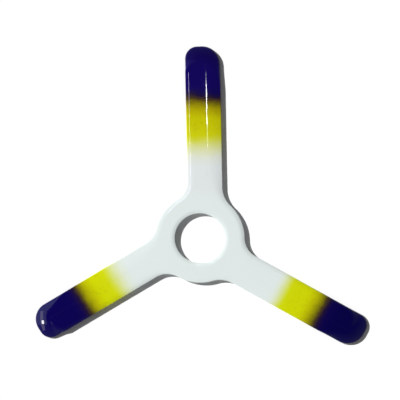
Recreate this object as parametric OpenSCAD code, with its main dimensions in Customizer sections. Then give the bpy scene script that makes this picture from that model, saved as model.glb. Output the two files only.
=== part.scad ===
// Three-bladed boomerang, cut and shaped by hand from ten-ply birch board.
//
// Frame: millimetres, origin at the centre of the hub hole on the flat underside, +Z up through
// the shaped face, one blade along +Y. The board's veneers run along Y or across it.
// Each veneer is a separate solid. All of them follow one surface, so a veneer is the slice of
// the shaped blank between its two glue lines.

/* [Blades] */
// Centre of the hole to the end of a blade
blade_reach = 170; // [155:1:190]
// Width of a blade between its leading and trailing edges
blade_width = 30.8; // [28:0.2:34]
// How far a blade's middle line passes behind the centre of the hole
blade_offset = 5.6; // [2:0.2:7]
// Corner radius at the tip, on the leading side
tip_round_leading = 10.5; // [8:0.5:11.5]
// Corner radius at the tip, on the trailing side
tip_round_trailing = 16; // [10:0.5:16]

/* [Hub] */
// Outer radius of the hub
hub_radius = 40; // [38:0.5:44]
// Radius of the hole through the hub
hole_radius = 22.5; // [18:0.5:25]
// Radius of the fillet from the hub to a blade's leading edge
root_fillet_leading = 20; // [14:0.5:22]
// Radius of the fillet from the hub to a blade's trailing edge
root_fillet_trailing = 24; // [14:0.5:24]

/* [Board] */
// Thickness of one veneer
veneer_thickness = 0.5; // [0.4:0.05:0.6]

/* [Section] */
// Place of the crest across the blade, as a share of its width from the leading edge
crest_share = 0.57; // [0.52:0.01:0.64]
// Greatest slope of the top where it meets the leading rounding, in degrees
leading_slope = 24; // [12:0.5:25]
// Greatest slope of the top where it meets the trailing rounding, in degrees
trailing_slope = 9.5; // [6:0.5:13]
// Slope of the top where it meets the rounding at a tip, in degrees
tip_slope = 14; // [10:0.5:17]
// Greatest slope of the top where it meets the rounding around the hub, in degrees
hub_slope = 20; // [8:0.5:22]
// Width of the sloped band around the hub
hub_band = 4.7; // [3:0.1:5]
// Slope of the top where it meets the rounding around the hole, in degrees
hole_slope = 17; // [8:0.5:20]
// Width of the sloped band around the hole
hole_band = 4; // [3:0.25:5]
// Radius of the rounding along the upper edges
upper_round = 0.6; // [0.5:0.1:1]
// Radius of the rounding along the upper edge at a tip
upper_round_tip = 2; // [1:0.1:2.2]
// Radius of the rounding along the lower edges
lower_round = 0.5; // [0.2:0.1:0.5]

/* [Hidden] */
NODES = ["back_veneer", "crossband_2", "long_band_3", "crossband_4", "centre_veneer_5",
    "centre_veneer_6", "crossband_7", "long_band_8", "crossband_9", "face_veneer"];

BLADES = 3;
thickness = veneer_thickness * len(NODES);

// The blade along +Y: its two edges, the crest and where the crest ends before the tip.
leading_x = blade_offset - blade_width / 2;
trailing_x = blade_offset + blade_width / 2;
crest_x = leading_x + crest_share * blade_width;
crest_end = [crest_x, blade_reach - blade_width / 2];
// Width of the flat that sanding leaves along the crest
crest_land = 0.8;

// The top stays level near the crest and falls towards the edges by these powers: late and
// quickly towards the leading edge, evenly towards every other edge.
LEADING_POWER = 8;
EVEN_POWER = 2;
// Shaped by hand, the blades differ, and so do the hub's sides between the blades. These are
// shares of the greatest slope, counter-clockwise from the blade along +Y for the blades, and
// from the side just clockwise of that blade for the hub.
LEADING_SHARES = [0.45, 0.8, 1];
TRAILING_SHARES = [1, 0.5, 0.55];
HUB_SHARES = [1, 0.55, 0.25];
// The blade thins towards its tip from this far before its end, on each side.
tip_length_leading = 22;
tip_length_trailing = 38;
// Share of that length over which the slope grows
TIP_GROWTH = 0.7;

// The hub's section fades into the blade's over this length past the hub's outer radius.
ROOT_LENGTH = 22.5;
root_end = hub_radius + ROOT_LENGTH;
// Middles of the two root fillets
fillet_t = [trailing_x + root_fillet_trailing,
    sqrt((hub_radius + root_fillet_trailing)^2 - (trailing_x + root_fillet_trailing)^2)];
fillet_l = [leading_x - root_fillet_leading,
    sqrt((hub_radius + root_fillet_leading)^2 - (leading_x - root_fillet_leading)^2)];
// Directions from the hub's centre in which the hub's arc meets the fillets
meet_t = atan2(fillet_t.y, fillet_t.x);
meet_l = atan2(fillet_l.y, fillet_l.x);
// Middles of the two tip corners
corner_t = [trailing_x - tip_round_trailing, blade_reach - tip_round_trailing];
corner_l = [leading_x + tip_round_leading, blade_reach - tip_round_leading];

// How far a cutting shape passes the surface that it cuts
OVERCUT = 1;
// Number of steps along each arc of the outline
HUB_STEPS_T = 3;
HUB_STEPS_L = 5;
FILLET_STEPS = 7;
CORNER_STEPS = 8;
// Number of steps round the hole, and along the band and the roundings of its rims
ROUND_STEPS = 96;
BAND_STEPS = 6;
RIM_STEPS = 4;
ROOT_STEPS = 2;
STRAIGHT_STEPS = 4;
// Gaps that the points on the straight edges keep from the fillets and from the tip corners
ROOT_GAP = 3;
TIP_GAP = 2;
// Distances from the centre at which both straight edges have a point
root_start = max(fillet_t.y, fillet_l.y) + ROOT_GAP;
straight_end = min(corner_t.y, corner_l.y, crest_end.y) - TIP_GAP;
STRAIGHT = concat(
    [for (i = [0:ROOT_STEPS]) root_start + (root_end - root_start) * i / ROOT_STEPS],
    [for (i = [1:STRAIGHT_STEPS])
        root_end + (straight_end - root_end) * i / STRAIGHT_STEPS]);

function turned(angle) = [cos(angle), sin(angle)];
function unit(v) = v / norm(v);
function smooth(t) = let (u = max(0, min(1, t))) u * u * (3 - 2 * u);
function mixed(a, b, share) = a * (1 - share) + b * share;

function hub_share(y, start) = 1 - smooth((y - start) / (root_end - start));
function tip_share(y, trailing) =
    let (length = mixed(tip_length_leading, tip_length_trailing, trailing))
    smooth((y - blade_reach + length) / (length * TIP_GROWTH));

// One point of the outline: [place, way in, run to the crest, share of trailing edge, share of
// hub, share of tip, step along the spine]. The surface climbs from the place along the way in.
function hub_point(angle) =
    [hub_radius * turned(angle), -turned(angle), hub_band, angle < 90 ? 1 : 0, 1, 0, 0];

function fillet_point(middle, radius, angle, edge_x, trailing, start, step) =
    let (place = middle + radius * turned(angle))
    [place, turned(angle), abs(crest_x - edge_x) - crest_land / 2, trailing,
        hub_share(place.y, start), 0, step];

function straight_point(edge_x, trailing, start, step) =
    let (y = STRAIGHT[step - FILLET_STEPS - 1])
    [[edge_x, y], [sign(crest_x - edge_x), 0], abs(crest_x - edge_x) - crest_land / 2, trailing,
        hub_share(y, start), tip_share(y, trailing), step];

function corner_point(middle, radius, angle) =
    let (
        place = middle + radius * turned(angle),
        way = crest_end - place,
        trailing = smooth(1 - angle / 180)
    )
    [place, unit(way), norm(way) - crest_land / 2, trailing, 0, tip_share(place.y, trailing),
        FILLET_STEPS + len(STRAIGHT) + 1];

// The outline of the blade along +Y and its share of the hub, counter-clockwise
BLADE_POINTS = let (
        first_t = hub_radius * sin(meet_t),
        first_l = hub_radius * sin(meet_l),
        half = 180 / BLADES,
        last = FILLET_STEPS + len(STRAIGHT)
    ) concat(
    [for (i = [0:HUB_STEPS_T - 1])
        hub_point(90 - half + (meet_t - 90 + half) * i / HUB_STEPS_T)],
    [for (i = [0:FILLET_STEPS])
        fillet_point(fillet_t, root_fillet_trailing, 180 + meet_t * (1 - i / FILLET_STEPS),
            trailing_x, 1, first_t, i)],
    [for (i = [FILLET_STEPS + 1:last]) straight_point(trailing_x, 1, first_t, i)],
    [for (i = [0:CORNER_STEPS])
        corner_point(corner_t, tip_round_trailing, 90 * i / CORNER_STEPS)],
    [for (i = [0:CORNER_STEPS])
        corner_point(corner_l, tip_round_leading, 90 + 90 * i / CORNER_STEPS)],
    [for (i = [last:-1:FILLET_STEPS + 1]) straight_point(leading_x, 0, first_l, i)],
    [for (i = [FILLET_STEPS:-1:0])
        fillet_point(fillet_l, root_fillet_leading, (meet_l - 180) * (1 - i / FILLET_STEPS),
            leading_x, 0, first_l, i)],
    [for (i = [1:HUB_STEPS_L - 1])
        hub_point(meet_l + (90 + half - meet_l) * i / HUB_STEPS_L)]);

// The spine of the blade along +Y, from the hub out to the end of the crest
SPINE = concat(
    [for (i = [1:FILLET_STEPS])
        [crest_x, max(fillet_t.y, fillet_l.y)] * i / FILLET_STEPS],
    [for (y = STRAIGHT) [crest_x, y]],
    [crest_end]);

// How far in from an upright side a quarter round of a radius reaches a height
function rounding(z, from, radius) =
    let (t = max(0, min(1, (z - from) / radius))) radius * (1 - sqrt(1 - t * t));

// The same for a side and the top above it: up an arc from the upright side, then along a curve
// that is level after the whole run
function edge_inset(z, run, radius, slope, power) =
    let (
        length = run - radius * (1 - sin(slope)),
        fall = length * tan(slope) / power,
        arc_top = thickness - fall
    )
    z < arc_top ? rounding(z, arc_top - radius * cos(slope), radius)
        : run - length * ((thickness - z) / fall)^(1 / power);

function inset(point, z, k) = z < lower_round ? rounding(lower_round - z, 0, lower_round)
    : let (
        run = point[2],
        leading_end = leading_slope * LEADING_SHARES[k],
        trailing_end = trailing_slope * TRAILING_SHARES[k],
        hub_end = hub_slope * HUB_SHARES[point[3] > 0 ? k : (k + 1) % BLADES],
        leading = edge_inset(z, run, upper_round, leading_end, LEADING_POWER),
        trailing = edge_inset(z, run, upper_round, trailing_end, EVEN_POWER),
        tip = edge_inset(z, run, upper_round_tip, tip_slope, EVEN_POWER),
        hub = edge_inset(z, hub_band, upper_round, hub_end, EVEN_POWER)
    )
    mixed(mixed(mixed(leading, trailing, point[3]), tip, point[5]), hub, point[4]);

function rotated(v, angle) =
    [v.x * cos(angle) - v.y * sin(angle), v.x * sin(angle) + v.y * cos(angle)];
function raised(v, z) = [v.x, v.y, z];

// The whole outline at a height, blade after blade
function ring(z) = [for (k = [0:BLADES - 1], p = BLADE_POINTS)
    raised(rotated(p[0] + p[1] * inset(p, z, k), k * 360 / BLADES), z)];

// The points that a cap fans out from: the hub's centre, then every blade's spine
function spines(z) = concat([[0, 0, z]],
    [for (k = [0:BLADES - 1], p = SPINE) raised(rotated(p, k * 360 / BLADES), z)]);

// Index in spines() of the point behind each point of the outline
BEHIND = [for (k = [0:BLADES - 1], p = BLADE_POINTS) p[6] == 0 ? 0 : k * len(SPINE) + p[6]];

// One slice of the shaped blank, between the lowest and the highest of the heights
module blank(heights) {
    count = BLADES * len(BLADE_POINTS);
    top = len(heights) - 1;
    low_spine = count * len(heights);
    high_spine = low_spine + BLADES * len(SPINE) + 1;
    sides = [for (h = [0:top - 1], i = [0:count - 1])
        let (j = (i + 1) % count, a = h * count, b = a + count)
        each [[a + j, a + i, b + i], [a + j, b + i, b + j]]];
    caps = [for (i = [0:count - 1])
        let (
            j = (i + 1) % count,
            low_i = low_spine + BEHIND[i],
            low_j = low_spine + BEHIND[j],
            high_i = high_spine + BEHIND[i],
            high_j = high_spine + BEHIND[j]
        )
        each concat(
            [[i, j, low_j], [top * count + j, top * count + i, high_j]],
            low_i == low_j ? []
                : [[i, low_j, low_i], [top * count + i, high_i, high_j]])];
    polyhedron(
        concat([for (z = heights) each ring(z)], spines(heights[0]), spines(heights[top])),
        concat(sides, caps));
}

// The hole with its shaped rims, as the shape to cut away
module hole() {
    cylinder(h = thickness, r = hole_radius, $fn = ROUND_STEPS);
    rim(concat([[hole_radius + lower_round, -OVERCUT]], LOWER_RIM, [[0, lower_round]]), -OVERCUT);
    rim(concat([[0, UPPER_RIM[0].y]], UPPER_RIM, [[hole_radius + hole_band, thickness + OVERCUT]]),
        thickness + OVERCUT);
}

// What shaping one rim cuts away: the part inside its profile, closed at a height at the middle
module rim(profile, height) {
    rotate_extrude($fn = ROUND_STEPS) polygon(concat(profile, [[0, height]]));
}

// Profiles of the two rims, from the lowest point up. The arcs start and end on exact points.
LOWER_RIM = [for (i = [0:RIM_STEPS])
    let (angle = 90 * (1 - i / RIM_STEPS))
    [hole_radius + lower_round * (1 - cos(angle)), lower_round * (1 - sin(angle))]];
UPPER_RIM = let (
        length = hole_band - upper_round * (1 - sin(hole_slope)),
        fall = length * tan(hole_slope) / EVEN_POWER,
        middle = thickness - fall - upper_round * cos(hole_slope)
    ) concat(
    [for (i = [0:RIM_STEPS])
        let (angle = (90 - hole_slope) * i / RIM_STEPS)
        [hole_radius + upper_round * (1 - cos(angle)), middle + upper_round * sin(angle)]],
    [for (i = [1:BAND_STEPS])
        let (share = 1 - i / BAND_STEPS)
        [hole_radius + hole_band - length * share, thickness - fall * share^EVEN_POWER]]);

// Heights of the points on each veneer's sides, as shares of its thickness, closer together
// where the surface is flatter
HEIGHT_SHARES = [
    [0, 0.3, 1],
    [0, 1],
    [0, 1],
    [0, 1],
    [0, 1],
    [0, 0.5, 1],
    [0, 0.5, 1],
    [0, 0.33, 0.67, 1],
    [0, 0.25, 0.5, 0.75, 1],
    [0, 0.2, 0.4, 0.6, 0.8, 0.92, 0.98, 1]
];

function heights(i) = [for (share = HEIGHT_SHARES[i]) (i + share) * veneer_thickness];

module veneer(i) {
    difference() {
        blank(heights(i));
        hole();
    }
}

// Veneers whose grain runs along Y are pale, and those whose grain crosses it look darker.
LONG_GRAIN = "#E3CBA0";
CROSS_GRAIN = "#C9A673";
LACQUERED = "#DDE6E5";

module back_veneer() { color(LONG_GRAIN) veneer(0); }
module crossband_2() { color(CROSS_GRAIN) veneer(1); }
module long_band_3() { color(LONG_GRAIN) veneer(2); }
module crossband_4() { color(CROSS_GRAIN) veneer(3); }
module centre_veneer_5() { color(LONG_GRAIN) veneer(4); }
module centre_veneer_6() { color(LONG_GRAIN) veneer(5); }
module crossband_7() { color(CROSS_GRAIN) veneer(6); }
module long_band_8() { color(LONG_GRAIN) veneer(7); }
module crossband_9() { color(CROSS_GRAIN) veneer(8); }
module face_veneer() { color(LACQUERED) veneer(9); }

back_veneer();
crossband_2();
long_band_3();
crossband_4();
centre_veneer_5();
centre_veneer_6();
crossband_7();
long_band_8();
crossband_9();
face_veneer();
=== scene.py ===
"""Looks of the three-bladed boomerang: airbrushed lacquer over shaped birch board, lying on a pale
floor. Metres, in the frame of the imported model: origin at the centre of the hub hole on the flat
underside, +Z up, one blade along +Y."""

import math

import bpy
import numpy as np
from mathutils import Matrix, Vector, noise


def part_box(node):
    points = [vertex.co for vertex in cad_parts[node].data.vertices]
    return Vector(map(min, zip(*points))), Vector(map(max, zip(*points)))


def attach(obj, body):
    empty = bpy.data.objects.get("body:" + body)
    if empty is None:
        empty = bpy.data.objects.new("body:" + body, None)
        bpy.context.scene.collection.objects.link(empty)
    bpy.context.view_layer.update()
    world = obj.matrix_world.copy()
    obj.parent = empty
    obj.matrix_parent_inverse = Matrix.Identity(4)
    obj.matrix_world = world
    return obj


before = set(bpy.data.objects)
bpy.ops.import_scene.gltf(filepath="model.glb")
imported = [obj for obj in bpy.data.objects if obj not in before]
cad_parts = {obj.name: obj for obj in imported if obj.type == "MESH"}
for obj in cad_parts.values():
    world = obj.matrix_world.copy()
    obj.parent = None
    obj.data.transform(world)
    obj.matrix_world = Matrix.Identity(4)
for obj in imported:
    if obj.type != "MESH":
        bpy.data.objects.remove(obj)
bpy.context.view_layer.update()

MM = 0.001

# The shaped blank, as the design has it. What the frame can tell is read from the frame.
BLADES = 3
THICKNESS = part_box("face_veneer")[1].z
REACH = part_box("back_veneer")[1].y
WIDTH = 30.8 * MM
OFFSET = 5.6 * MM
TIP_ROUND_LEADING = 10.5 * MM
TIP_ROUND_TRAILING = 16 * MM
HUB_RADIUS = 40 * MM
HOLE_RADIUS = 22.5 * MM
ROOT_FILLET_LEADING = 20 * MM
ROOT_FILLET_TRAILING = 24 * MM
CREST_SHARE = 0.57
CREST_LAND = 0.8 * MM
LEADING_SLOPE = 24
TRAILING_SLOPE = 9.5
TIP_SLOPE = 14
HUB_SLOPE = 20
HUB_BAND = 4.7 * MM
HOLE_SLOPE = 17
HOLE_BAND = 4 * MM
UPPER_ROUND = 0.6 * MM
UPPER_ROUND_TIP = 2 * MM
LOWER_ROUND = 0.5 * MM
LEADING_POWER = 8
EVEN_POWER = 2
# Shares of the greatest slope, per blade and per side of the hub
LEADING_SHARES = [0.45, 0.8, 1]
TRAILING_SHARES = [1, 0.5, 0.55]
HUB_SHARES = [1, 0.55, 0.25]
TIP_LENGTH_LEADING = 22 * MM
TIP_LENGTH_TRAILING = 38 * MM
TIP_GROWTH = 0.7
ROOT_LENGTH = 22.5 * MM
ROOT_GAP = 3 * MM

LEADING_X = OFFSET - WIDTH / 2
TRAILING_X = OFFSET + WIDTH / 2
CREST_X = LEADING_X + CREST_SHARE * WIDTH
CREST_END = np.array([CREST_X, REACH - WIDTH / 2])
RIM_RADIUS = HOLE_RADIUS + HOLE_BAND
ROOT_END = HUB_RADIUS + ROOT_LENGTH

# The coat of lacquer: how proud of the wood its two sides lie, where it stops at the lower edge,
# and how uneven the hand-sanded surface under it is.
COAT_OUTSIDE = 0.14 * MM
COAT_INSIDE = 0.02 * MM
COAT_LOWEST = 0.15 * MM
SANDING_DEPTH = 0.008 * MM
SANDING_SIZE = 25 * MM

# Spacing of the coat's mesh
STEP_STRAIGHT = 1.3 * MM
STEP_ROUND = 0.75 * MM
ROOT_STEPS = 26
ROWS_LOWER, ROWS_WALL, ROWS_ARC, ROWS_FACET, ROWS_LEVEL = 3, 3, 8, 14, 4
WELD_DISTANCE = 0.0001 * MM


def smooth(t):
    """Eases from 0 to 1 as t goes from 0 to 1."""
    u = np.clip(t, 0, 1)
    return u * u * (3 - 2 * u)


def mixed(a, b, share):
    return a * (1 - share) + b * share


def turned(angle):
    """The unit vector at an angle from +X."""
    return np.stack([np.cos(angle), np.sin(angle)], -1)


def steps(length, step):
    """How many steps of about a size a length takes."""
    return max(2, round(abs(length) / step))


# ---------------------------------------------------------------- outline


def fillet_middle(edge_x, radius, side):
    """The centre of the fillet that touches the hub and an edge of the blade."""
    x = edge_x + side * radius
    return np.array([x, math.sqrt((HUB_RADIUS + radius) ** 2 - x**2)])


class Side:
    """The half of a blade's outline from midway between two blades to where the crest ends, on
    the trailing side (side 1) or the leading side (side -1)."""

    def __init__(self, side, edge_x, fillet, tip_round):
        self.side = side
        self.edge_x = edge_x
        self.fillet = fillet
        self.tip_round = tip_round
        self.middle = fillet_middle(edge_x, fillet, side)
        self.meet = math.atan2(self.middle[1], self.middle[0])
        self.start = HUB_RADIUS * math.sin(self.meet)
        self.first = math.pi / 2 - side * math.pi / BLADES
        self.hub_length = HUB_RADIUS * abs(self.meet - self.first)
        self.bend = self.meet if side > 0 else math.pi - self.meet
        self.fillet_length = fillet * self.bend

    def share_of_hub(self, y):
        """How much of the section is the hub's at a distance along the blade."""
        return 1 - smooth((y - self.start) / (ROOT_END - self.start))

    def at(self, length):
        """Place and way in at a length along the root, from midway between two blades."""
        if length <= self.hub_length:
            share = length / self.hub_length
            angle = mixed(self.first, self.meet, share)
            return HUB_RADIUS * turned(angle), -turned(angle), 1.0
        share = min(1.0, (length - self.hub_length) / self.fillet_length)
        if share < 1:
            from_angle = math.pi + self.meet if self.side > 0 else self.meet - math.pi
            to_angle = math.pi if self.side > 0 else 0.0
            angle = mixed(from_angle, to_angle, share)
            place = self.middle + self.fillet * turned(angle)
            return place, turned(angle), self.share_of_hub(place[1])
        place = np.array([self.edge_x, self.middle[1] + length - self.hub_length - self.fillet_length])
        return place, np.array([-self.side, 0.0]), self.share_of_hub(place[1])


TRAILING = Side(1, TRAILING_X, ROOT_FILLET_TRAILING, TIP_ROUND_TRAILING)
LEADING = Side(-1, LEADING_X, ROOT_FILLET_LEADING, TIP_ROUND_LEADING)
ROOT_START = max(TRAILING.middle[1], LEADING.middle[1]) + ROOT_GAP
RIM_ANGLE = math.acos(CREST_X / RIM_RADIUS)
RIM_POINT = RIM_RADIUS * turned(RIM_ANGLE)


def tip_share(y, trailing):
    """How much of the section is the tip's at a distance along the blade."""
    length = mixed(TIP_LENGTH_LEADING, TIP_LENGTH_TRAILING, trailing)
    return float(smooth((y - REACH + length) / (length * TIP_GROWTH)))


def station(place, way, run, trailing, hub, inner, on_rim):
    """One place on the outline: its way in, the run from there to the crest, its shares of the
    trailing edge, the hub and the tip, and where the level top ends."""
    return {
        "place": place,
        "way": way,
        "run": run,
        "trailing": trailing,
        "hub": hub,
        "tip": tip_share(place[1], trailing),
        "inner": inner,
        "on_rim": on_rim,
    }


def side_stations(side):
    """The stations of one side, from midway between two blades out to the end of the crest."""
    whole = side.hub_length + side.fillet_length + ROOT_START - side.middle[1]
    rim_length = RIM_RADIUS * abs(RIM_ANGLE - side.first)
    crest_length = ROOT_START - RIM_POINT[1]
    split = whole * rim_length / (rim_length + crest_length)
    run = abs(CREST_X - side.edge_x) - CREST_LAND / 2
    trailing = (side.side + 1) / 2
    made = []
    count = steps(split, STEP_ROUND)
    for i in range(count):
        share = i / count
        place, way, hub = side.at(split * share)
        inner = RIM_RADIUS * turned(mixed(side.first, RIM_ANGLE, share))
        made.append(station(place, way, run, trailing, hub, inner, True))
    for i in range(ROOT_STEPS):
        share = i / ROOT_STEPS
        place, way, hub = side.at(mixed(split, whole, share))
        inner = np.array([CREST_X, mixed(RIM_POINT[1], ROOT_START, share)])
        made.append(station(place, way, run, trailing, hub, inner, i == 0))
    end = min(CREST_END[1], REACH - side.tip_round)
    count = steps(end - ROOT_START, STEP_STRAIGHT)
    for i in range(count + 1):
        y = mixed(ROOT_START, end, i / count)
        place = np.array([side.edge_x, y])
        way = np.array([-side.side, 0.0])
        inner = np.array([CREST_X, y])
        made.append(station(place, way, run, trailing, side.share_of_hub(y), inner, False))
    return made


def tip_stations():
    """The stations round the tip, from the trailing edge to the leading edge. All of them look
    at the end of the crest."""
    corner_t = np.array([TRAILING_X - TIP_ROUND_TRAILING, REACH - TIP_ROUND_TRAILING])
    corner_l = np.array([LEADING_X + TIP_ROUND_LEADING, REACH - TIP_ROUND_LEADING])
    places = []
    count = steps(TIP_ROUND_TRAILING * math.pi / 2, STEP_ROUND)
    for i in range(count + 1):
        angle = math.pi / 2 * i / count
        places.append((corner_t + TIP_ROUND_TRAILING * turned(angle), angle))
    gap = steps(corner_t[0] - corner_l[0], STEP_ROUND)
    for i in range(1, gap):
        places.append((np.array([mixed(corner_t[0], corner_l[0], i / gap), REACH]), math.pi / 2))
    count = steps(TIP_ROUND_LEADING * math.pi / 2, STEP_ROUND)
    for i in range(count + 1):
        angle = math.pi / 2 * (1 + i / count)
        places.append((corner_l + TIP_ROUND_LEADING * turned(angle), angle))
    # One more on the leading edge, between the corner and the end of the crest
    places.append((np.array([LEADING_X, mixed(CREST_END[1], corner_l[1], 0.5)]), math.pi))
    made = []
    for place, angle in places:
        way = CREST_END - place
        run = np.linalg.norm(way)
        trailing = float(smooth(1 - angle / math.pi))
        made.append(station(place, way / run, run - CREST_LAND / 2, trailing, 0.0, CREST_END, False))
    return made


def blade_stations():
    """The outline of the blade along +Y, counter-clockwise."""
    return side_stations(TRAILING) + tip_stations() + side_stations(LEADING)[::-1]


# ---------------------------------------------------------------- section


def edge_curve(run, radius, slope, power):
    """Length and fall of the curve over an edge, from its rounding to the crest, for the slope in
    degrees where it meets the rounding."""
    length = run - radius * (1 - math.sin(math.radians(slope)))
    return length, length * math.tan(math.radians(slope)) / power


def edge_inset(z, run, radius, slope, power):
    """How far in from the upright side the surface reaches a height."""
    length, fall = edge_curve(run, radius, slope, power)
    start = THICKNESS - fall - radius * math.cos(math.radians(slope))
    if z < THICKNESS - fall:
        t = np.clip((z - start) / radius, 0, 1)
        return radius * (1 - math.sqrt(1 - t * t))
    return run - length * (max(0.0, THICKNESS - z) / fall) ** (1 / power)


def edge_heights(run, radius, slope, power):
    """Heights of the rows over one edge: wall, arc, then facet up to the crest."""
    _, fall = edge_curve(run, radius, slope, power)
    turn = math.radians(90 - slope)
    start = THICKNESS - fall - radius * math.sin(turn)
    wall = [mixed(LOWER_ROUND, start, i / ROWS_WALL) for i in range(ROWS_WALL)]
    arc = [start + radius * math.sin(turn * i / ROWS_ARC) for i in range(ROWS_ARC)]
    facet = [THICKNESS - fall * (1 - i / ROWS_FACET) ** power for i in range(ROWS_FACET + 1)]
    return np.array(wall + arc + facet)


def lower_rows():
    """(height, inset) of the rows round the lower rounding, from where the coat stops."""
    first = math.asin(1 - COAT_LOWEST / LOWER_ROUND)
    rows = []
    for i in range(ROWS_LOWER):
        angle = first * (1 - i / ROWS_LOWER)
        rows.append((LOWER_ROUND * (1 - math.sin(angle)), LOWER_ROUND * (1 - math.cos(angle))))
    return rows


LOWER_ROWS = lower_rows()


def column(s, k):
    """The points from the lower edge up to the inner end at one station of a blade."""
    run = s["run"]
    # Side k of the hub lies between blade k's trailing edge and the blade before it.
    side = k if s["trailing"] > 0 else (k + 1) % BLADES
    leading = (run, UPPER_ROUND, LEADING_SLOPE * LEADING_SHARES[k], LEADING_POWER)
    trailing = (run, UPPER_ROUND, TRAILING_SLOPE * TRAILING_SHARES[k], EVEN_POWER)
    tip = (run, UPPER_ROUND_TIP, TIP_SLOPE, EVEN_POWER)
    hub = (HUB_BAND, UPPER_ROUND, HUB_SLOPE * HUB_SHARES[side], EVEN_POWER)

    def blended(function):
        edge = mixed(function(*leading), function(*trailing), s["trailing"])
        return mixed(mixed(edge, function(*tip), s["tip"]), function(*hub), s["hub"])

    points = [[*(s["place"] + s["way"] * inset), z] for z, inset in LOWER_ROWS]
    for z in blended(edge_heights):
        inset = blended(lambda *edge: edge_inset(z, *edge))
        points.append([*(s["place"] + s["way"] * inset), z])
    top = np.array(points[-1][:2])
    for i in range(1, ROWS_LEVEL + 1):
        points.append([*mixed(top, s["inner"], i / ROWS_LEVEL), THICKNESS])
    return points


def bore_column(s):
    """The points from the hole's upper rim down its wall to the lower edge at one station."""
    out = s["inner"] / np.linalg.norm(s["inner"])
    rim = (HOLE_BAND, UPPER_ROUND, HOLE_SLOPE, EVEN_POWER)
    rows = [(HOLE_RADIUS + edge_inset(z, *rim), z) for z in edge_heights(*rim)[::-1]]
    rows += [(HOLE_RADIUS + inset, z) for z, inset in LOWER_ROWS[::-1]]
    return [[*(out * radius), z] for radius, z in rows]


# ---------------------------------------------------------------- coat


def rotated(points, k):
    """Points of the blade along +Y, turned to blade k."""
    angle = 2 * math.pi * k / BLADES
    turn = np.array(Matrix.Rotation(angle, 3, "Z"))
    return points @ turn.T


def strip_faces(first, columns, rows, closed):
    """Quads between neighbouring columns of a grid whose points start at index first."""
    faces = []
    for i in range(columns if closed else columns - 1):
        a, b = first + i * rows, first + (i + 1) % columns * rows
        faces += [(a + r, b + r, b + r + 1, a + r + 1) for r in range(rows - 1)]
    return faces


def welded(points, faces):
    """Joins points that coincide, and drops the faces that this empties."""
    keys = np.round(points / WELD_DISTANCE).astype(np.int64)
    _, kept, where = np.unique(keys, axis=0, return_index=True, return_inverse=True)
    where = where.reshape(-1)
    made = []
    for face in faces:
        around = [int(where[i]) for i in face]
        around = [v for i, v in enumerate(around) if v != around[i - 1]]
        if len(set(around)) >= 3:
            made.append(tuple(around))
    return points[kept], made


def normals_of(points, faces):
    """The unit normal at each point, from the faces round it."""
    made = np.zeros_like(points)
    for face in faces:
        corners = points[list(face)]
        normal = np.cross(corners[1] - corners[0], corners[-1] - corners[0])
        if len(face) == 4:
            normal += np.cross(corners[3] - corners[2], corners[1] - corners[2])
        made[list(face)] += normal
    return made / np.linalg.norm(made, axis=1)[:, None]


def border_edges(faces):
    """The directed edges that only one face has."""
    edges = set()
    for face in faces:
        for i, v in enumerate(face):
            edges.add((face[i - 1], v))
    return [(a, b) for a, b in edges if (b, a) not in edges]


def coat_surface():
    """The surface of the shaped wood down to where the coat stops, as points and quads."""
    blade = blade_stations()
    blades = [np.array([column(s, k) for s in blade]) for k in range(BLADES)]
    rows = blades[0].shape[1]
    points = np.concatenate([rotated(b.reshape(-1, 3), k) for k, b in enumerate(blades)])
    faces = strip_faces(0, BLADES * len(blade), rows, True)
    rim_t = [s for s in side_stations(TRAILING) if s["on_rim"]]
    rim_l = [s for s in side_stations(LEADING) if s["on_rim"]][::-1]
    for k in range(BLADES):
        for rim in (rim_t, rim_l):
            grid = np.array([bore_column(s) for s in rim])
            faces += strip_faces(len(points), len(rim), grid.shape[1], False)
            points = np.concatenate([points, rotated(grid.reshape(-1, 3), k)])
    return welded(points, faces)


def sanding(p):
    """How far hand sanding leaves the surface off its true height at a point, in metres: wide
    waves, and weaker, finer ones shifted off them."""
    wide = noise.noise(Vector(p) / SANDING_SIZE)
    fine = noise.noise(Vector(p) / SANDING_SIZE * 2.3 + Vector((7, 3, 1)))
    return SANDING_DEPTH * (wide + 0.4 * fine)


def lacquer_coat():
    """The coat as a thin closed shell over the face, the edges and the wall of the hole."""
    points, faces = coat_surface()
    normals = normals_of(points, faces)
    # The coat thins out towards its lower edge.
    full = smooth((points[:, 2] - COAT_LOWEST) / (2 * LOWER_ROUND))
    uneven = np.array([sanding(p) for p in points]) * full
    proud = mixed(COAT_INSIDE * 2, COAT_OUTSIDE, full) + uneven
    outside = points + normals * proud[:, None]
    inside = points + normals * COAT_INSIDE
    count = len(points)
    sides = list(faces)
    sides += [tuple(v + count for v in face[::-1]) for face in faces]
    sides += [(b, a, a + count, b + count) for a, b in border_edges(faces)]
    mesh = bpy.data.meshes.new("lacquer_coat")
    mesh.from_pydata(np.concatenate([outside, inside]).tolist(), [], sides)
    mesh.validate()
    mesh.shade_smooth()
    made = bpy.data.objects.new("lacquer_coat", mesh)
    bpy.context.scene.collection.objects.link(made)
    return made


# ---------------------------------------------------------------- materials


def linear(*rgb):
    """A colour given in sRGB, 0 to 255, as the shaders take it."""
    shares = [c / 255 for c in rgb]
    return [s / 12.92 if s <= 0.04045 else ((s + 0.055) / 1.055) ** 2.4 for s in shares] + [1.0]


def set_stops(band, stops):
    """Fills a colour ramp with stops of (position, colour)."""
    while len(band.elements) < len(stops):
        band.elements.new(0.5)
    for element, (position, colour) in zip(band.elements, stops):
        element.position = position
        element.color = colour


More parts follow.
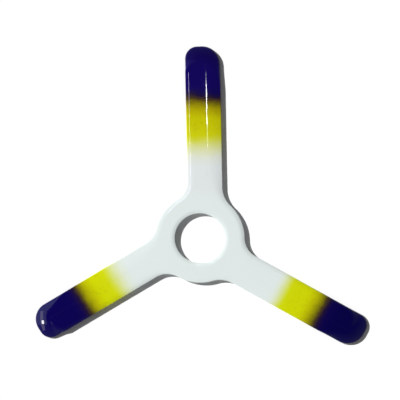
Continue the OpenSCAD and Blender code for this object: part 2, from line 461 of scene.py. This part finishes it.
class Nodes:
    """Short calls for building a material's node tree. Places are in the piece's own metres."""

    def __init__(self, name):
        self.material = bpy.data.materials.new(name)
        self.material.use_nodes = True
        self.tree = self.material.node_tree
        self.shader = self.tree.nodes["Principled BSDF"]
        self.place = self.add("ShaderNodeTexCoord").outputs["Object"]

    def add(self, kind, **settings):
        node = self.tree.nodes.new(kind)
        for name, value in settings.items():
            setattr(node, name, value)
        return node

    def put(self, value, socket):
        """Gives a socket a link or a constant."""
        if isinstance(value, bpy.types.NodeSocket):
            self.tree.links.new(value, socket)
        else:
            socket.default_value = value

    def surface(self, **settings):
        """Sets sockets of the shader, named with _ for each space."""
        for name, value in settings.items():
            self.put(value, self.shader.inputs[name.replace("_", " ")])

    def maths(self, operation, *values):
        node = self.add("ShaderNodeMath", operation=operation)
        for value, socket in zip(values, node.inputs):
            self.put(value, socket)
        return node.outputs[0]

    def vector(self, operation, *values, out="Vector"):
        node = self.add("ShaderNodeVectorMath", operation=operation)
        for value, socket in zip(values, node.inputs):
            self.put(value, socket)
        return node.outputs[out]

    def noise(self, size, detail, roughness=0.5, stretch=(1, 1, 1), distort=0.0):
        """Noise from 0 to 1 whose lumps are about size across, longer along the stretched axes."""
        scaled = self.vector("DIVIDE", self.place, [s * size for s in stretch])
        node = self.add("ShaderNodeTexNoise")
        self.put(scaled, node.inputs["Vector"])
        node.inputs["Scale"].default_value = 1.0
        node.inputs["Detail"].default_value = detail
        node.inputs["Roughness"].default_value = roughness
        node.inputs["Distortion"].default_value = distort
        return node.outputs["Fac"]

    def between(self, value, low, high, to_low=0.0, to_high=1.0):
        """Value taken smoothly from low..high to to_low..to_high."""
        node = self.add("ShaderNodeMapRange", interpolation_type="SMOOTHSTEP")
        self.put(value, node.inputs["Value"])
        self.put(low, node.inputs["From Min"])
        self.put(high, node.inputs["From Max"])
        self.put(to_low, node.inputs["To Min"])
        self.put(to_high, node.inputs["To Max"])
        return node.outputs["Result"]

    def ramp(self, value, stops):
        """Colour by stops of (position, colour), in order."""
        low, high = stops[0][0], stops[-1][0]
        share = self.maths("DIVIDE", self.maths("SUBTRACT", value, low), high - low)
        node = self.add("ShaderNodeValToRGB")
        self.put(share, node.inputs["Fac"])
        set_stops(node.color_ramp, [((at - low) / (high - low), colour) for at, colour in stops])
        return node.outputs["Color"]

    def drift(self, size, detail, reach):
        """Noise about zero, by which a border of the paint wanders, reach from end to end."""
        return self.maths("MULTIPLY", self.maths("SUBTRACT", self.noise(size, detail), 0.5), reach)

    def mix(self, share, a, b, kind="MIX"):
        node = self.add("ShaderNodeMix", data_type="RGBA", blend_type=kind)
        self.put(share, node.inputs["Factor"])
        self.put(a, node.inputs["A"])
        self.put(b, node.inputs["B"])
        return node.outputs["Result"]

    def bump(self, height, depth):
        node = self.add("ShaderNodeBump")
        node.inputs["Strength"].default_value = 1.0
        node.inputs["Distance"].default_value = depth
        self.put(height, node.inputs["Height"])
        return node.outputs["Normal"]


# Per blade, counter-clockwise from +Y: where along it yellow has reached half strength, how
# gradually it comes, where indigo has, and how much further out that is per length towards the
# trailing edge
SPRAY = [
    (84.0 * MM, 1.0, 120.8 * MM, -0.11),
    (84.8 * MM, 0.8, 117.9 * MM, 0.05),
    (88.4 * MM, 0.5, 123.3 * MM, 0.0),
]
WHITE = linear(197, 205, 202)
# Colours by distance out from where yellow, then indigo, has reached half strength
YELLOW_FADE = [
    (-20 * MM, WHITE),
    (-12 * MM, linear(196, 204, 188)),
    (-6 * MM, linear(193, 200, 155)),
    (0 * MM, linear(188, 196, 106)),
    (4 * MM, linear(185, 193, 57)),
    (8 * MM, linear(183, 190, 12)),
    (20 * MM, linear(181, 188, 4)),
]
INDIGO_FADE = [
    (-14 * MM, linear(177, 182, 3)),
    (-9 * MM, linear(168, 169, 3)),
    (-5 * MM, linear(147, 144, 5)),
    (-1 * MM, linear(110, 105, 8)),
    (2 * MM, linear(65, 52, 22)),
    (5 * MM, linear(27, 14, 43)),
    (9 * MM, linear(11, 3, 65)),
    (14 * MM, linear(7, 1, 67)),
]
INDIGO_STARTS = (-18 * MM, -9 * MM)
# Where one blade's colour differs from the others': the blade, where that starts along it, where
# it is complete, and what it multiplies the colour by. The first row is painted shade: it makes the
# top blade a little darker and less green from its root outwards, for the way that blade is lit.
# The other rows are differences in the blades' paint.
PAINT_TINTS_AND_SHADE = [
    # Painted shade: the top blade darkened and made less green, for how it is lit
    (0, 34 * MM, 48 * MM, (0.99, 0.955, 0.98, 1)),
    (0, 76 * MM, 108 * MM, (0.9, 0.84, 1, 1)),
    (0, 124 * MM, 136 * MM, (2, 3.6, 1.3, 1)),
    (0, 148 * MM, 166 * MM, (0.8, 0.9, 0.68, 1)),
    (2, 120 * MM, 145 * MM, (0.45, 0.35, 0.72, 1)),
]
# Olive smudges in the yellow: their size and strength, and where they start and end, as distances
# out from half indigo
SMUDGE = linear(146, 144, 4)
SMUDGE_SIZE = 5 * MM
SMUDGE_STRENGTH = 0.3
SMUDGES_START = (-34 * MM, -16 * MM)
SMUDGES_END = (-4 * MM, 2 * MM)
# Lump size, detail and reach of the slow and the fine unevenness of the paint's borders
PAINT_WANDER = (9 * MM, 3, 5 * MM)
PAINT_SPECKLE = (0.5 * MM, 1, 4 * MM)
# The clear coat's fine unevenness
PEEL_SIZE = 1.0 * MM
PEEL_DEPTH = 0.0065 * MM


def spray_places(n):
    """How far out from half yellow and from half indigo a place lies, on the blade where that is
    furthest, and the list of its distances along the blades."""
    yellow_at, indigo_at = None, None
    alongs = []
    for k, (yellow, gradual, indigo, slant) in enumerate(SPRAY):
        angle = 2 * math.pi * k / BLADES
        out = (-math.sin(angle), math.cos(angle), 0)
        across = (math.cos(angle), math.sin(angle), 0)
        along = n.vector("DOT_PRODUCT", n.place, out, out="Value")
        alongs.append(along)
        sideways = n.vector("DOT_PRODUCT", n.place, across, out="Value")
        to_yellow = n.maths("DIVIDE", n.maths("SUBTRACT", along, yellow), gradual)
        slanted = n.maths("MULTIPLY_ADD", n.maths("SUBTRACT", sideways, CREST_X), -slant, along)
        to_indigo = n.maths("SUBTRACT", slanted, indigo)
        yellow_at = to_yellow if k == 0 else n.maths("MAXIMUM", yellow_at, to_yellow)
        indigo_at = to_indigo if k == 0 else n.maths("MAXIMUM", indigo_at, to_indigo)
    return yellow_at, indigo_at, alongs


def lacquer_material():
    n = Nodes("lacquer")
    uneven = n.maths("ADD", n.drift(*PAINT_WANDER), n.drift(*PAINT_SPECKLE))
    yellow_at, indigo_at, alongs = spray_places(n)
    yellow_at = n.maths("ADD", yellow_at, uneven)
    indigo_at = n.maths("ADD", indigo_at, uneven)
    inner = n.ramp(yellow_at, YELLOW_FADE)
    outer = n.ramp(indigo_at, INDIGO_FADE)
    colour = n.mix(n.between(indigo_at, *INDIGO_STARTS), inner, outer)
    in_yellow = n.maths("SUBTRACT", n.between(indigo_at, *SMUDGES_START), n.between(indigo_at, *SMUDGES_END))
    smudges = n.between(n.noise(SMUDGE_SIZE, 3, 0.6), 0.5, 0.72, 0.0, SMUDGE_STRENGTH)
    colour = n.mix(n.maths("MULTIPLY", smudges, in_yellow), colour, SMUDGE)
    # Differences in the blades' paint, and painted shade on the top blade (the first row)
    for k, start, end, tint_and_shade in PAINT_TINTS_AND_SHADE:
        colour = n.mix(n.between(alongs[k], start, end), colour, n.mix(1.0, colour, tint_and_shade, "MULTIPLY"))
    orange_peel = n.bump(n.noise(PEEL_SIZE, 2), PEEL_DEPTH)
    n.surface(Base_Color=colour, Roughness=0.5, Specular_IOR_Level=0.0)
    n.surface(Coat_Weight=1.0, Coat_Roughness=0.02, Coat_Normal=orange_peel)
    return n.material


# Birch: the size of its figure, fibres and flecks, and how many times longer they are along the
# grain; how dark its darker wood is; the colours of fibres and flecks
FIGURE_SIZE, FIGURE_STRETCH = 16 * MM, 6
FIBRE_SIZE, FIBRE_STRETCH = 0.35 * MM, 26
FLECK_SIZE, FLECK_STRETCH = 0.3 * MM, 6.5
FIBRE_DEPTH = 0.02 * MM
DARKER = 0.8
FIBRE = linear(150, 110, 66)
FLECK = linear(122, 82, 46)


def birch_material(name, tone, across):
    """Rotary-cut birch veneer with its grain along Y, or along X if across."""
    n = Nodes(name)

    def stretched(times):
        return (times, 1, 1) if across else (1, times, 1)

    figure = n.noise(FIGURE_SIZE, 2, 0.45, stretched(FIGURE_STRETCH), distort=0.6)
    fibre = n.noise(FIBRE_SIZE, 3, 0.6, stretched(FIBRE_STRETCH))
    fleck = n.noise(FLECK_SIZE, 1, 0.5, stretched(FLECK_STRETCH))
    pale, dark = linear(*tone), linear(*[c * DARKER for c in tone])
    colour = n.mix(n.between(figure, 0.35, 0.7), pale, dark)
    colour = n.mix(n.between(fibre, 0.3, 0.75, 0.0, 0.35), colour, FIBRE)
    colour = n.mix(n.between(fleck, 0.68, 0.76, 0.0, 0.55), colour, FLECK)
    n.surface(Base_Color=colour, Roughness=n.between(fibre, 0.3, 0.7, 0.42, 0.58))
    n.surface(Normal=n.bump(fibre, FIBRE_DEPTH), Coat_Weight=0.6, Coat_Roughness=0.18)
    return n.material


def floor_material():
    n = Nodes("pale_floor")
    n.surface(Base_Color=(0.95, 0.95, 0.95, 1), Roughness=0.9, Specular_IOR_Level=0.1)
    return n.material


def give(made, material):
    made.data.materials.clear()
    made.data.materials.append(material)


# ---------------------------------------------------------------- pieces

coat = lacquer_coat()
give(coat, lacquer_material())
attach(coat, "root")

birch_long = birch_material("birch_long_grain", (232, 208, 166), False)
birch_cross = birch_material("birch_cross_grain", (212, 180, 134), True)
for name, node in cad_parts.items():
    give(node, birch_cross if name.startswith("crossband") else birch_long)

# ---------------------------------------------------------------- stage

FLOOR_HALF = 4.0
FLOOR_HEIGHT = -0.05 * MM


def add_floor():
    mesh = bpy.data.meshes.new("floor")
    corners = [(-1, -1, 0), (1, -1, 0), (1, 1, 0), (-1, 1, 0)]
    mesh.from_pydata(corners, [], [(0, 1, 2, 3)])
    made = bpy.data.objects.new("floor", mesh)
    made.scale = (FLOOR_HALF, FLOOR_HALF, 1)
    made.location.z = FLOOR_HEIGHT
    bpy.context.scene.collection.objects.link(made)
    give(made, floor_material())


add_floor()

# The camera looks almost straight down. Its tilt is about X, Y and Z.
CAMERA_DISTANCE = 0.7
CAMERA_TARGET = Vector((0.6, 34.1, 0)) * MM
CAMERA_TILT = [math.radians(a) for a in (-4.11, 2.89, -1.21)]
CAMERA_LENS = 70.25
CAMERA_SENSOR = 36


def add_camera():
    data = bpy.data.cameras.new("camera")
    data.lens = CAMERA_LENS
    data.sensor_width = CAMERA_SENSOR
    made = bpy.data.objects.new("camera", data)
    rx, ry, rz = CAMERA_TILT
    turn = Matrix.Rotation(rz, 4, "Z") @ Matrix.Rotation(ry, 4, "Y") @ Matrix.Rotation(rx, 4, "X")
    away = turn @ Vector((0, 0, CAMERA_DISTANCE))
    made.matrix_world = Matrix.Translation(CAMERA_TARGET + away) @ turn
    bpy.context.scene.collection.objects.link(made)
    bpy.context.scene.camera = made
    return made


camera = add_camera()

# ---------------------------------------------------------------- light

# Lamps that the glossy coat mirrors to the camera as narrow lines and a glint. For each: its name;
# a spot on a blade; how far the coat is tilted there, which way, and how far off the lamp is; its
# size; its radiance; its colour. The ones for the tip are near, so that no other blade mirrors them.
FAR, NEAR = 0.7, 0.2
LAMPS = [
    ("crest_light", (0, CREST_X / MM, 120), (0.45, 0, FAR), (0.009, 0.07), 40, (1, 1, 1)),
    ("faint_crest_light", (0, CREST_X / MM, 114), (0.45, 0, FAR), (0.008, 0.13), 9, (1, 1, 1)),
    ("edge_light", (0, -7.3, 96), (4, 180, FAR), (0.014, 0.21), 15, (0.78, 0.68, 1.0)),
    ("tip_strip", (1, 12.5, 160), (9, 190, NEAR), (0.024, 0.13), 1.5, (1.0, 0.88, 0.97)),
    ("tip_lamp", (1, 8.5, 162.8), (8.3, 205, NEAR), (0.016, 0.022), 26, (1, 1, 1)),
]
WINDOW_DISTANCE = 1.2
WINDOW_COLOUR = (0.84, 0.9, 1.0)
# Brightness of the studio by height, from the horizon (0) to overhead (1)
SKY = [(0.0, 0.05), (0.3, 0.15), (0.6, 0.29), (0.84, 0.1), (0.94, 0.03), (1.0, 0.03)]
SKY_BLUE = 1.02


def direction(azimuth, height):
    """The unit vector at an angle round from +X and a height above level, in degrees."""
    around, up = math.radians(azimuth), math.radians(height)
    return Vector((math.cos(up) * math.cos(around), math.cos(up) * math.sin(around), math.sin(up)))


def on_blade(k, x, y):
    """A point on the top of a blade, from its place in millimetres on the blade along +Y."""
    turn = Matrix.Rotation(2 * math.pi * k / BLADES, 3, "Z")
    return turn @ Vector((x * MM, y * MM, THICKNESS))


def mirrored(point, tilt, towards, distance):
    """Where a light has to be for the camera to see it mirrored at a point whose surface is
    tilted from level by tilt, towards an angle round from +X, in degrees."""
    ray = (point - camera.location).normalized()
    return point + ray.reflect(direction(towards, 90 - tilt)) * distance


def add_area(name, place, aim, size, radiance, colour):
    """A rectangle of light at place, facing aim, with its second size along Y seen from below."""
    data = bpy.data.lights.new(name, "AREA")
    data.shape = "RECTANGLE"
    data.size, data.size_y = size
    # An area light's power over its area and pi is its radiance.
    data.energy = radiance * math.pi * size[0] * size[1]
    data.color = colour
    made = bpy.data.objects.new(name, data)
    back = (place - aim).normalized()
    side = Vector((0, 1, 0)).cross(back).normalized()
    turn = Matrix((side, back.cross(side), back)).transposed().to_4x4()
    made.matrix_world = Matrix.Translation(place) @ turn
    made.visible_camera = False
    bpy.context.scene.collection.objects.link(made)
    return made


def add_sun(name, energy, spread, place):
    """A sun, with its spread in degrees, whose disc the coat does not mirror."""
    data = bpy.data.lights.new(name, "SUN")
    data.energy = energy
    data.angle = math.radians(spread)
    made = bpy.data.objects.new(name, data)
    made.rotation_mode = "QUATERNION"
    made.rotation_quaternion = place.to_track_quat("Z", "Y")
    made.visible_glossy = False
    bpy.context.scene.collection.objects.link(made)
    return made


def add_lights():
    """The key sun lights everything. Every other light shines on the boomerang alone and leaves
    the floor's shadows as they are."""
    add_sun("key", energy=4.95, spread=3, place=direction(147, 36))
    linked = [add_sun("side_sun", energy=1.2, spread=25, place=direction(245, 30))]
    for name, spot, tilted, size, radiance, colour in LAMPS:
        target = on_blade(*spot)
        linked.append(add_area(name, mirrored(target, *tilted), target, size, radiance, colour))
    window_place = direction(185, 45) * WINDOW_DISTANCE
    linked.append(add_area("window", window_place, Vector(), (0.7, 0.9), 0.6, WINDOW_COLOUR))
    lit = bpy.data.collections.new("boomerang")
    for made in (coat, *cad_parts.values()):
        lit.objects.link(made)
    for light in linked:
        light.light_linking.receiver_collection = lit


def set_world():
    """A dim studio, brightest halfway up and dark overhead, where the camera sees it mirrored."""
    world = bpy.data.worlds.new("studio")
    world.use_nodes = True
    bpy.context.scene.world = world
    tree = world.node_tree
    place = tree.nodes.new("ShaderNodeTexCoord")
    split = tree.nodes.new("ShaderNodeSeparateXYZ")
    band = tree.nodes.new("ShaderNodeValToRGB")
    tree.links.new(place.outputs["Generated"], split.inputs[0])
    tree.links.new(split.outputs["Z"], band.inputs["Fac"])
    tree.links.new(band.outputs["Color"], tree.nodes["Background"].inputs["Color"])
    set_stops(band.color_ramp, [(at, (v, v, v * SKY_BLUE, 1)) for at, v in SKY])


add_lights()
set_world()
bpy.context.scene.view_settings.view_transform = "Standard"
